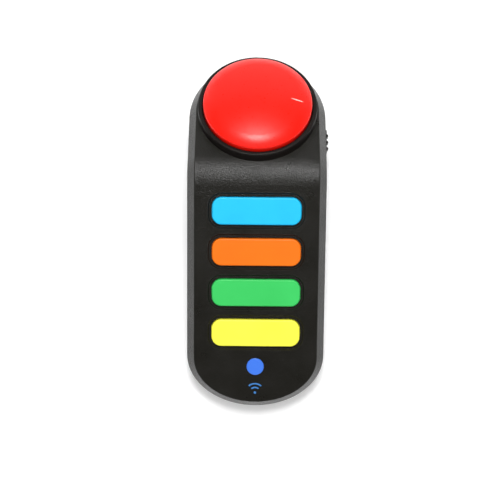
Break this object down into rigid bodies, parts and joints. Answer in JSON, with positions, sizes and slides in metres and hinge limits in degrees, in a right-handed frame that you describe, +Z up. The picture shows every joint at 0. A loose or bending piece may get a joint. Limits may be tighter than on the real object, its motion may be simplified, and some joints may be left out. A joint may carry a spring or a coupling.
{
  "type": "quiz buzzer",
  "caption": "Hand-held wireless quiz buzzer: bent black casing with a large red domed push button on the head, coloured bar buttons down the handle, status lamp and power switch.",
  "frame": {"origin": "middle of the bounding box at the level of the feet", "axes": "+Z up from the feet, +Y from the tail towards the domed head, +X towards the side with the power switch"},
  "size_m": [0.062, 0.154, 0.0487],
  "materials": {
    "casing_black": "satin, finely grained",
    "collar_black": "satin",
    "dome_red": "gloss",
    "diffuser_white": "satin",
    "button_blue": "satin",
    "button_orange": "satin",
    "button_green": "satin",
    "button_yellow": "satin",
    "lens_blue": "gloss",
    "grey_rubber": "matt",
    "carbon": "matt",
    "foot_rubber": "matt",
    "board_green": "satin",
    "chip_black": "matt",
    "lamp_red": "clear, tinted",
    "lamp_blue": "clear, tinted",
    "plated_steel": "nickel-plated",
    "spring_steel": "bright",
    "tinned_shield": "satin",
    "cell_sleeve": "printed sleeve",
    "plug_white": "satin",
    "cable_grey": "satin",
    "lead_red": "satin"
  },
  "bodies": {
    "casing": {"top_shell": "casing_black", "bottom_shell": "casing_black", "buzzer_collar": "collar_black", "head_chassis": "casing_black", "dome_springs": "spring_steel", "buzzer_contact": "grey_rubber", "buzzer_lamps": "lamp_red", "head_board": "board_green", "keypad": "grey_rubber", "main_board": "board_green", "main_chip": "chip_black", "radio_module": "board_green", "radio_shield": "tinned_shield", "capacitor": "chip_black", "status_lamp": "lamp_blue", "status_lens": "lens_blue", "board_plugs": "plug_white", "ribbon": "cable_grey", "switch_body": "tinned_shield", "switch_board": "board_green", "switch_leads": "lead_red", "battery_leads": "lead_red", "cell_1": "cell_sleeve", "cell_2": "cell_sleeve", "battery_terminals": "plated_steel", "battery_bridge": "plated_steel", "battery_springs": "spring_steel", "rubber_feet": "foot_rubber", "case_screws": "plated_steel", "board_screws": "plated_steel", "chassis_screws": "plated_steel", "head_board_screws": "plated_steel"},
    "dome": {"buzzer_dome": "dome_red", "dome_plunger": "diffuser_white"},
    "power_knob": {"switch_knob": "collar_black", "switch_slider": "chip_black"},
    "bay_cover": {"battery_cover": "casing_black", "cover_latch": "casing_black"},
    "blue_key": {"blue_button": "button_blue", "blue_contacts": "carbon"},
    "orange_key": {"orange_button": "button_orange", "orange_contacts": "carbon"},
    "green_key": {"green_button": "button_green", "green_contacts": "carbon"},
    "yellow_key": {"yellow_button": "button_yellow", "yellow_contacts": "carbon"}
  },
  "joints": [
    {"name": "buzzer_press", "type": "slide", "parent": "casing", "child": "dome", "axis": [0, -0.3502, -0.9367], "range_m": [0, 0.002], "stiffness_N_per_m": 900, "springref_m": -0.002, "deforming": ["dome_springs", "buzzer_contact"]},
    {"name": "blue_press", "type": "slide", "parent": "casing", "child": "blue_key", "axis": [0, 0.2756, -0.9613], "range_m": [0, 0.001], "stiffness_N_per_m": 600, "springref_m": -0.0008, "deforming": ["keypad"]},
    {"name": "orange_press", "type": "slide", "parent": "casing", "child": "orange_key", "axis": [0, 0.2756, -0.9613], "range_m": [0, 0.001], "stiffness_N_per_m": 600, "springref_m": -0.0008, "deforming": ["keypad"]},
    {"name": "green_press", "type": "slide", "parent": "casing", "child": "green_key", "axis": [0, 0.2756, -0.9613], "range_m": [0, 0.001], "stiffness_N_per_m": 600, "springref_m": -0.0008, "deforming": ["keypad"]},
    {"name": "yellow_press", "type": "slide", "parent": "casing", "child": "yellow_key", "axis": [0, 0.2756, -0.9613], "range_m": [0, 0.001], "stiffness_N_per_m": 600, "springref_m": -0.0008, "deforming": ["keypad"]},
    {"name": "power_switch", "type": "slide", "parent": "casing", "child": "power_knob", "axis": [0, 1, 0], "range_m": [0, 0.0035]},
    {"name": "cover_hinge", "type": "hinge", "parent": "casing", "child": "bay_cover", "pos_m": [-0.00095, 0.03114, 0.0012], "axis": [1, 0, 0], "range_deg": [0, 75], "deforming": ["cover_latch"]}
  ]
}
